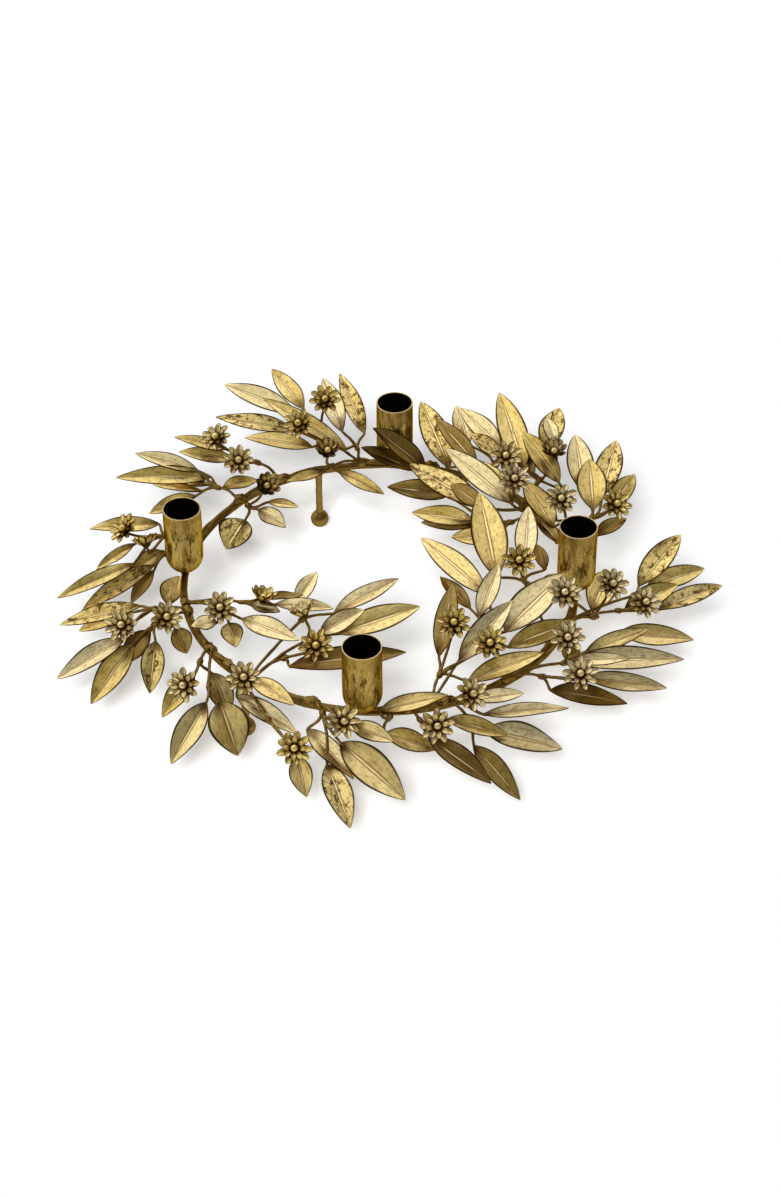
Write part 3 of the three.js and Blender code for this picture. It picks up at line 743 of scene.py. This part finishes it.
class Nodes:
    """Short names for the shader nodes that the materials are made of."""

    def __init__(self, name):
        self.material = bpy.data.materials.new(name)
        self.material.use_nodes = True
        self.tree = self.material.node_tree
        self.shader = self.tree.nodes["Principled BSDF"]

    def link(self, value, socket):
        if isinstance(value, bpy.types.NodeSocket):
            self.tree.links.new(value, socket)
        else:
            socket.default_value = value

    def attribute(self, name):
        node = self.tree.nodes.new("ShaderNodeAttribute")
        node.attribute_name = name
        return node.outputs["Vector"]

    def surface_normal(self):
        """Which way the surface faces, the same from every side."""
        return self.tree.nodes.new("ShaderNodeNewGeometry").outputs["Normal"]

    def parts(self, vector):
        node = self.tree.nodes.new("ShaderNodeSeparateXYZ")
        self.link(vector, node.inputs[0])
        return node.outputs

    def stretch(self, vector, scale):
        node = self.tree.nodes.new("ShaderNodeVectorMath")
        node.operation = "MULTIPLY"
        self.link(vector, node.inputs[0])
        self.link(scale, node.inputs[1])
        return node.outputs[0]

    def noise(self, vector, scale, detail=3.0, roughness=0.55, warp=0.0):
        node = self.tree.nodes.new("ShaderNodeTexNoise")
        self.link(vector, node.inputs["Vector"])
        node.inputs["Scale"].default_value = scale
        node.inputs["Detail"].default_value = detail
        node.inputs["Roughness"].default_value = roughness
        node.inputs["Distortion"].default_value = warp
        return node.outputs[0]

    def cells(self, vector, scale):
        node = self.tree.nodes.new("ShaderNodeTexVoronoi")
        self.link(vector, node.inputs["Vector"])
        node.inputs["Scale"].default_value = scale
        return node.outputs["Distance"]

    def step(self, value, low, high, bottom=0.0, top=1.0):
        """Runs smoothly from bottom to top as the value goes from low to high."""
        node = self.tree.nodes.new("ShaderNodeMapRange")
        node.interpolation_type = "SMOOTHSTEP"
        for socket, number in zip(node.inputs, (value, low, high, bottom, top)):
            self.link(number, socket)
        return node.outputs[0]

    def math(self, operation, first, second=0.0):
        node = self.tree.nodes.new("ShaderNodeMath")
        node.operation = operation
        self.link(first, node.inputs[0])
        self.link(second, node.inputs[1])
        return node.outputs[0]

    def mix(self, factor, first, second):
        node = self.tree.nodes.new("ShaderNodeMix")
        node.data_type = "RGBA"
        self.link(factor, node.inputs["Factor"])
        self.link(first, node.inputs["A"])
        self.link(second, node.inputs["B"])
        return node.outputs["Result"]

    def bump(self, height, distance, strength, before=None):
        node = self.tree.nodes.new("ShaderNodeBump")
        node.inputs["Strength"].default_value = strength
        node.inputs["Distance"].default_value = distance * MM
        self.link(height, node.inputs["Height"])
        if before is not None:
            self.link(before, node.inputs["Normal"])
        return node.outputs[0]


def rgb(red, green, blue):
    return red, green, blue, 1.0


OLIVE = rgb(0.71, 0.51, 0.115)
GOLD = rgb(0.88, 0.66, 0.2)
PALE = rgb(0.87, 0.74, 0.43)
EDGE = rgb(0.48, 0.31, 0.1)
DUSK = rgb(0.14, 0.08, 0.02)
BROWN = rgb(0.19, 0.09, 0.018)
# This brown-black colours stains and blotches, and also the painted shade at the base of leaves and the
# middle of flowers.
STAIN_AND_SHADE = rgb(0.085, 0.037, 0.007)
# This near-black colours pits; on the rims of leaves it is partly painted shade, and on the rims of
# petals it is painted shade.
UMBER = rgb(0.033, 0.015, 0.003)
# Painted shade inside the cups.
CUP_INSIDE_SHADE = rgb(0.12, 0.066, 0.02)


def patina(nodes, grain, tone, spots):
    """Brass colour with clouds, streaks, hard-edged brown blotches and a painted highlight on faces that
    point up: (colour, dullness).
    """
    clouds = nodes.step(nodes.noise(grain, 0.14, 4.0, 0.6), 0.36, 0.64)
    colour = nodes.mix(clouds, OLIVE, GOLD)
    colour = nodes.mix(nodes.step(tone, -0.2, 1.0, 0.0, 0.85), colour, PALE)
    # Painted highlight: faces that point up are painted paler, as if lit from above.
    up = nodes.step(nodes.parts(nodes.surface_normal())[2], 0.7, 0.98, 0.0, 0.3)
    colour = nodes.mix(up, colour, PALE)
    streaks = nodes.noise(nodes.stretch(grain, (1.5, 0.5, 1.0)), 0.75, 5.0, 0.7)
    colour = nodes.mix(nodes.step(streaks, 0.48, 0.68, 0.0, 0.6), colour, BROWN)
    mottle = nodes.step(nodes.noise(grain, 0.42, 7.0, 0.75), 0.53, 0.61)
    share = nodes.step(spots, 0.1, 1.0, 0.35, 0.8)
    colour = nodes.mix(nodes.math("MULTIPLY", mottle, share), colour, BROWN)
    colour = nodes.mix(nodes.step(tone, 0.1, -1.0, 0.0, 0.85), colour, DUSK)
    blots = nodes.noise(grain, 0.24, 8.0, 0.74, 0.2)
    level = nodes.step(spots, 0.0, 1.0, 0.7, 0.54)
    blotch = nodes.step(nodes.math("SUBTRACT", blots, level), 0.0, 0.02)
    colour = nodes.mix(nodes.math("MULTIPLY", blotch, 0.85), colour, STAIN_AND_SHADE)
    return colour, blotch


def brass(name, recess=None):
    """Antique brass. recess colours the parts of a shape by where they lie on it: painted shade and
    painted highlights, besides patina, on leaves, flowers and cups, and brown patches on wires.
    """
    nodes = Nodes(name)
    grain = nodes.attribute("grain")
    tone, spots, grooves = nodes.parts(nodes.attribute("finish"))
    shape = nodes.parts(nodes.attribute("shape"))
    colour, dull = patina(nodes, grain, tone, spots)
    ribs = nodes.noise(nodes.stretch(grain, (1.0, 0.06, 1.0)), 0.9, 1.0)
    ribs = nodes.math("MULTIPLY", nodes.step(ribs, 0.35, 0.65), grooves)
    colour = nodes.mix(nodes.math("MULTIPLY", ribs, 0.35), colour, BROWN)
    if recess:
        colour = recess(nodes, colour, shape, grain)
    pits = nodes.step(nodes.cells(grain, 0.5), 0.0, 0.15, 1.0, 0.0)
    pitted = nodes.step(nodes.noise(grain, 0.16), 0.52, 0.62)
    pits = nodes.math("MULTIPLY", pits, pitted)
    colour = nodes.mix(nodes.math("MULTIPLY", pits, 0.75), colour, UMBER)
    nodes.link(colour, nodes.shader.inputs["Base Color"])
    nodes.shader.inputs["Metallic"].default_value = 1.0
    nodes.shader.inputs["Specular Tint"].default_value = EDGE
    fine = nodes.noise(nodes.stretch(grain, (2.2, 0.6, 1.0)), 1.4, 3.0)
    rough = nodes.step(fine, 0.3, 0.7, 0.27, 0.4)
    rough = nodes.math("ADD", rough, nodes.math("MULTIPLY", dull, 0.2))
    nodes.link(rough, nodes.shader.inputs["Roughness"])
    swell = nodes.bump(nodes.noise(grain, 0.13, 1.0), 1.0, 0.5)
    ribbed = nodes.bump(ribs, 0.25, 0.5, swell)
    grit = nodes.bump(fine, 0.1, 0.3, ribbed)
    wear = nodes.math("ADD", nodes.math("MULTIPLY", pits, -1.0), nodes.math("MULTIPLY", dull, 0.35))
    nodes.link(nodes.bump(wear, 0.2, 0.5, grit), nodes.shader.inputs["Normal"])
    return nodes.material


def leaf_recess(nodes, colour, shape, grain):
    """Leaves get painted shade at the base and in the crease beside the midrib, a dark rim that is partly
    patina and partly painted shade, and a painted highlight along the midrib.
    """
    across, along, _ = shape
    reach = nodes.math("ABSOLUTE", across)
    # Painted shade at the base of the leaf, where flowers and wires shade it.
    ragged = nodes.math("ADD", along, nodes.math("MULTIPLY", nodes.noise(grain, 0.25), 0.3))
    colour = nodes.mix(nodes.step(ragged, 0.46, 0.14, 0.0, 0.9), colour, STAIN_AND_SHADE)
    # The dark rim is partly the sheet's oxidised edge and partly painted shade.
    rim = nodes.step(reach, 0.82, 0.92, 0.0, 0.97)
    colour = nodes.mix(rim, colour, UMBER)
    # Painted shade in the crease on each side of the midrib.
    crease = nodes.math("MULTIPLY", nodes.step(reach, 0.2, 0.07), nodes.step(reach, 0.04, 0.06))
    colour = nodes.mix(nodes.math("MULTIPLY", crease, 0.8), colour, BROWN)
    # Painted highlight along the raised midrib.
    rib = nodes.math("MULTIPLY", nodes.step(reach, 0.045, 0.03), nodes.step(along, 0.15, 0.3))
    return nodes.mix(nodes.math("MULTIPLY", rib, 0.8), colour, PALE)


def petal_recess(nodes, colour, shape, grain):
    """Painted shade darkens the petals where they meet at the middle, along their edges and on the back
    of the head, leaving their tips bright; the bead is spared it.
    """
    across, along, bead = shape
    # Painted shade where the petals meet at the middle, and on the back of the head.
    depth = nodes.step(along, 0.6, 0.2, 0.0, 0.97)
    depth = nodes.math("MULTIPLY", depth, nodes.math("SUBTRACT", 1.0, bead))
    colour = nodes.mix(depth, colour, STAIN_AND_SHADE)
    # Painted shade along the petal edges, for the dark gaps between petals.
    rim = nodes.step(nodes.math("ABSOLUTE", across), 0.66, 0.9, 0.0, 0.95)
    return nodes.mix(rim, colour, UMBER)


def wire_recess(nodes, colour, shape, grain):
    """Wires and the ring are brown in patches."""
    patches = nodes.step(nodes.noise(grain, 0.3), 0.35, 0.62, 0.4, 0.9)
    return nodes.mix(patches, colour, DUSK)


def cup_recess(nodes, colour, shape, grain):
    """Cups get painted shade inside, nearly black, and a painted highlight on the rim; they are brown
    under the rim, darker towards the bottom and stained in a band.
    """
    inside, height, rim = shape
    colour = nodes.mix(nodes.step(height, 0.7, 0.98, 0.0, 0.4), colour, BROWN)
    colour = nodes.mix(nodes.step(height, 0.25, 0.0, 0.0, 0.6), colour, BROWN)
    blots = nodes.step(nodes.noise(grain, 0.2, 8.0, 0.7), 0.51, 0.56, 0.0, 0.9)
    band = nodes.math("MULTIPLY", nodes.step(height, 0.12, 0.35), nodes.step(height, 0.95, 0.6))
    colour = nodes.mix(nodes.math("MULTIPLY", blots, band), colour, STAIN_AND_SHADE)
    # Painted shade: the inside of the cup is painted nearly black.
    colour = nodes.mix(inside, colour, CUP_INSIDE_SHADE)
    # Painted highlight on the rim.
    return nodes.mix(nodes.math("MULTIPLY", rim, 0.3), colour, PALE)


# ---- making the pieces ------------------------------------------------------------------------------

MATERIALS = {
    "leaf_brass": brass("leaf_brass", leaf_recess),
    "flower_brass": brass("flower_brass", petal_recess),
    "cup_brass": brass("cup_brass", cup_recess),
    "rod_brass": brass("rod_brass", wire_recess),
    "foot_brass": brass("foot_brass"),
}
CUP_NODES = [f"candle_cup_{index + 1}" for index in range(4)]


def middle_of(node):
    low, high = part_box(node)
    return (low + high) / 2


RING_CENTRE = sum((middle_of(node) for node in CUP_NODES), Vector()) / len(CUP_NODES)
RING_CENTRE.z = 0


def place_of(node):
    """Where a node stands, in millimetres from the middle of the ring."""
    spot = (middle_of(node) - RING_CENTRE) / MM
    return Vector((spot.x, spot.y, 0))


def make_piece(name, shape, slot, *nodes):
    """A piece in metres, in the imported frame, that stands for the given nodes."""
    mesh = bpy.data.meshes.new(name)
    points = [RING_CENTRE + Vector(point) * MM for point in shape.points]
    mesh.from_pydata(points, [], shape.faces)
    skin = bmesh.new()
    skin.from_mesh(mesh)
    bmesh.ops.recalc_face_normals(skin, faces=skin.faces)
    skin.to_mesh(mesh)
    skin.free()
    for mark, values in shape.marks.items():
        layer = mesh.attributes.new(mark, "FLOAT_VECTOR", "POINT")
        layer.data.foreach_set("vector", [number for value in values for number in value])
    mesh.shade_smooth()
    mesh.set_sharp_from_angle(angle=math.radians(42))
    mesh.materials.append(MATERIALS[slot])
    piece = bpy.data.objects.new(name, mesh)
    bpy.context.collection.objects.link(piece)
    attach(piece, "root")
    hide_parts(*nodes)
    return piece


def make_ring():
    shape = Shape()
    rings = []
    for step in range(RING_STEPS):
        turn = 360 * step / RING_STEPS
        around = []
        for side in range(RING_SIDES):
            lean = 2 * math.pi * side / RING_SIDES
            point = on_ring(turn, RING_HEIGHT + RING_ROD * math.sin(lean),
                            RING_RADIUS + RING_ROD * math.cos(lean))
            lay = math.radians(turn) * RING_LAY
            strand = abs(math.sin(RING_STRANDS / 2 * lean + lay)) - 1
            dent = RING_UNEVEN * noise.noise(point * 0.12) + RING_GROOVE * strand
            around.append(on_ring(turn, RING_HEIGHT + (RING_ROD + dent) * math.sin(lean),
                                  RING_RADIUS + (RING_ROD + dent) * math.cos(lean)))
        rings.append(around)
    count = RING_SIDES
    for ring in rings:
        shape.points.extend(ring)
    total = len(shape.points)
    for start in range(0, total, count):
        for side in range(count):
            after = (side + 1) % count
            ahead = (start + count) % total
            shape.faces.append((start + side, start + after, ahead + after, ahead + side))
    shape.marks = {"grain": list(shape.points), "shape": [(0.0, 0.5, 0.0)] * total,
                   "finish": [RING_FINISH] * total}
    make_piece("ring", shape, "rod_brass", "ring_rod")


def cup_profile():
    """The cup from its bottom over the rim to its floor, and the row where the rim starts."""
    inner = CUP_RADIUS - CUP_WALL
    seat_angle = -math.acos(CUP_SEAT / CUP_RADIUS)
    floor_angle = -math.acos(CUP_FLOOR_RADIUS / inner)
    sag = CUP_CORNER / -math.sin(seat_angle)
    inner_sag = (CUP_CORNER - CUP_FLOOR) / -math.sin(floor_angle)
    outside = arc(CUP_CORNER, CUP_RADIUS, sag, seat_angle, 0, 14)
    rows = [(CUP_HEIGHT - CUP_CORNER) * step / CUP_WALL_STEPS for step in range(1, CUP_WALL_STEPS)]
    wall = [(CUP_RADIUS, CUP_CORNER + row) for row in rows]
    band, bevel, drop = (CUP_HEIGHT - down for down in (CUP_RIM_BAND, CUP_RIM_BEVEL, CUP_RIM_DROP))
    rim = [(CUP_RADIUS, band), (CUP_RADIUS, bevel), (CUP_RADIUS - CUP_RIM_ROUND, drop),
           ((CUP_RADIUS + inner) / 2, CUP_HEIGHT),
           (inner + CUP_RIM_ROUND, drop), (inner, bevel), (inner, band)]
    back = [(inner, CUP_HEIGHT - row) for row in rows]
    inside = arc(CUP_CORNER, inner, inner_sag, 0, floor_angle, 12)
    below = [(0.1, 0.0), *outside, *wall]
    return [*below, *rim, *back, *inside, (0.1, CUP_FLOOR)], len(below)


def make_cup(node, number, rng):
    profile, rim_start = cup_profile()
    shape = Shape()
    finish = (rng.uniform(*CUP_TONE), rng.uniform(*CUP_SPOTS), 0.0)

    def mark(row, height):
        # inside marks where the cup's inside gets its painted shade, and rim where the rim gets its
        # painted highlight.
        inside = 1.0 if row > rim_start + CUP_RIM_ROWS else 0.0
        rim = 1.0 if rim_start < row <= rim_start + CUP_RIM_ROWS else 0.0
        return inside, height / CUP_HEIGHT, rim

    centre = place_of(node) + Vector((0, 0, CUP_BASE))
    lathe(shape, profile, CUP_SIDES, centre, finish, mark, CUP_UNEVEN, 0.3)
    tangent = Vector((-centre.y, centre.x, 0)).normalized()
    seat = place_of(node) + Vector((0, 0, RING_HEIGHT + RING_ROD + 0.6))
    lump(shape, seat, tangent, 5.5, 3.2, finish)
    make_piece(f"cup_{number}", shape, "cup_brass", node)


def make_leg(number, rng):
    leg, ball = f"leg_{number}", f"ball_foot_{number}"
    spot = place_of(ball)
    finish = (rng.uniform(*LEG_TONE), LEG_SPOTS, 0.0)
    shape = Shape()
    line = [spot + Vector((0, 0, LEG_START + (RING_HEIGHT - LEG_START) * step / LEG_STEPS))
            for step in range(LEG_STEPS + 1)]
    tube(shape, line, [LEG_RADIUS + extra for extra in LEG_FLARE], 24, finish, 0.2)
    make_piece(f"leg_post_{number}", shape, "foot_brass", leg)
    shape = Shape()
    centre = math.sqrt(FOOT_RADIUS ** 2 - FOOT_FLAT ** 2)
    start = -math.acos(FOOT_FLAT / FOOT_RADIUS)
    profile = [(0.1, 0.0), *arc(centre, FOOT_RADIUS, FOOT_RADIUS, start, math.radians(88), 26)]
    lathe(shape, profile, 40, spot, finish, lambda row, height: (0.0, 0.5, 0.0), 0.15)
    make_piece(f"ball_{number}", shape, "foot_brass", ball)


def make_spray(spray, rng):
    name, ring_angle = spray["name"], spray["ring_angle"]
    node = f"spray_{name}"
    wires = Shape()
    wire_finish = (rng.uniform(*WIRE_TONE), WIRE_SPOTS, 0.0)
    root = on_ring(ring_angle, RING_HEIGHT + RING_ROD + 0.4)
    tangent = Vector((-root.y, root.x, 0)).normalized()
    lump(wires, root, tangent, 5.5, BRAZE_RADIUS, wire_finish)
    blades = blooms = buds = 0
    for lane, fork_entry in enumerate(spray["forks"]):
        fork = Vector(fork_entry["at"])
        outward = twig(wires, ring_angle, fork, lane - (len(spray["forks"]) - 1) / 2, wire_finish)
        lump(wires, fork, outward, 3.0, 1.9, wire_finish)
        for entry in fork_entry.get("leaves", []):
            start, point, width = Vector(entry[:3]), Vector(entry[3:6]), entry[6]
            petiole(wires, fork, outward, start, point, wire_finish)
            tone, spots, grooves = FINISHES[entry[7] if len(entry) > 7 else "plain"]
            shape = Shape()
            tone += rng.uniform(-LEAF_TONE_SPREAD, LEAF_TONE_SPREAD)
            blade(shape, start, point, width, rng, tone, spots, grooves)
            blades += 1
            make_piece(f"leaf_{name}_{blades}", shape, "leaf_brass", node)
        heads = [(entry, False) for entry in fork_entry.get("flowers", [])]
        heads += [(entry, True) for entry in fork_entry.get("buds", [])]
        for entry, closed in heads:
            place = Vector(entry[:3])
            facing = entry[3:6] if len(entry) > 5 else FLOWER_FACING
            finish = entry[-1] if isinstance(entry[-1], str) else "plain"
            stalk(wires, fork, outward, place, facing, wire_finish)
            shape = Shape()
            tone = PETAL_TONE_SHARE * FINISHES[finish][0] + PETAL_TONE
            flower(shape, place, facing, BUD_SPREAD if closed else 1.0, rng, tone)
            if closed:
                buds += 1
                make_piece(f"bud_{name}_{buds}", shape, "flower_brass", node)
            else:
                blooms += 1
                make_piece(f"bloom_{name}_{blooms}", shape, "flower_brass", f"flower_{name}_{blooms}")
    make_piece(f"wires_{name}", wires, "rod_brass", node)


# ---- studio -------------------------------------------------------------------------------------------

def make_camera():
    data = bpy.data.cameras.new("camera")
    data.lens = CAMERA_LENS
    data.sensor_width = CAMERA_SENSOR
    camera = bpy.data.objects.new("camera", data)
    away = Vector((0, -math.cos(CAMERA_ELEVATION), math.sin(CAMERA_ELEVATION)))
    place = RING_CENTRE + (CAMERA_TARGET + away * CAMERA_DISTANCE) * MM
    tilt = Matrix.Rotation(math.pi / 2 - CAMERA_ELEVATION, 4, "X")
    camera.matrix_world = Matrix.Translation(place) @ tilt @ Matrix.Rotation(CAMERA_ROLL, 4, "Z")
    bpy.context.collection.objects.link(camera)
    bpy.context.scene.camera = camera


def make_key_light():
    """One soft light from the front, a little to the left. It lights the floor and not the gloss."""
    data = bpy.data.lights.new("key_light", "SUN")
    data.energy = KEY_STRENGTH
    data.angle = KEY_WIDTH
    lamp = bpy.data.objects.new("key_light", data)
    lamp.rotation_euler = KEY_SIDE.to_track_quat("Z", "Y").to_euler()
    lamp.visible_glossy = False
    bpy.context.collection.objects.link(lamp)


def make_world():
    """A soft white studio for the gloss, brightest behind the object on the left."""
    world = bpy.data.worlds.new("studio")
    world.use_nodes = True
    tree = world.node_tree
    coordinates = tree.nodes.new("ShaderNodeTexCoord")
    toward = tree.nodes.new("ShaderNodeVectorMath")
    toward.operation = "DOT_PRODUCT"
    toward.inputs[1].default_value = BACKDROP_SIDE
    fade = tree.nodes.new("ShaderNodeMapRange")
    tree.links.new(coordinates.outputs["Generated"], toward.inputs[0])
    tree.links.new(toward.outputs["Value"], fade.inputs["Value"])
    fade.inputs["From Min"].default_value = STUDIO_FADE[0]
    fade.inputs["From Max"].default_value = STUDIO_FADE[1]
    fade.inputs["To Min"].default_value = STUDIO_DIM
    fade.inputs["To Max"].default_value = STUDIO_BRIGHT
    tree.links.new(fade.outputs[0], tree.nodes["Background"].inputs["Strength"])
    tree.nodes["Background"].inputs["Color"].default_value = rgb(1.0, 1.0, 1.0)
    bpy.context.scene.world = world
    world.cycles_visibility.diffuse = False


def make_floor():
    mesh = bpy.data.meshes.new("floor")
    half = FLOOR_SIZE * MM / 2
    mesh.from_pydata([(-half, -half, 0), (half, -half, 0), (half, half, 0), (-half, half, 0)],
                     [], [(0, 1, 2, 3)])
    nodes = Nodes("floor")
    nodes.shader.inputs["Base Color"].default_value = rgb(0.88, 0.89, 0.91)
    nodes.shader.inputs["Roughness"].default_value = 0.9
    nodes.shader.inputs["Emission Color"].default_value = rgb(1.0, 1.0, 1.0)
    nodes.shader.inputs["Emission Strength"].default_value = FLOOR_GLOW
    nodes.shader.inputs["Specular IOR Level"].default_value = 0.1
    mesh.materials.append(nodes.material)
    floor = bpy.data.objects.new("floor", mesh)
    bpy.context.collection.objects.link(floor)
    floor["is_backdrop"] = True


bpy.context.scene.view_settings.view_transform = "Standard"
make_camera()
make_world()
make_floor()
make_key_light()

rng = random.Random(SEED)
make_ring()
for index, cup_node in enumerate(CUP_NODES):
    make_cup(cup_node, index + 1, rng)
for foot_number in range(1, 4):
    make_leg(foot_number, rng)
for entry in SPRAYS:
    make_spray(entry, rng)

boxes = {"cad": CAD_BOX, "visual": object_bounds()}
{name: [list(corner) for corner in box] for name, box in boxes.items()}
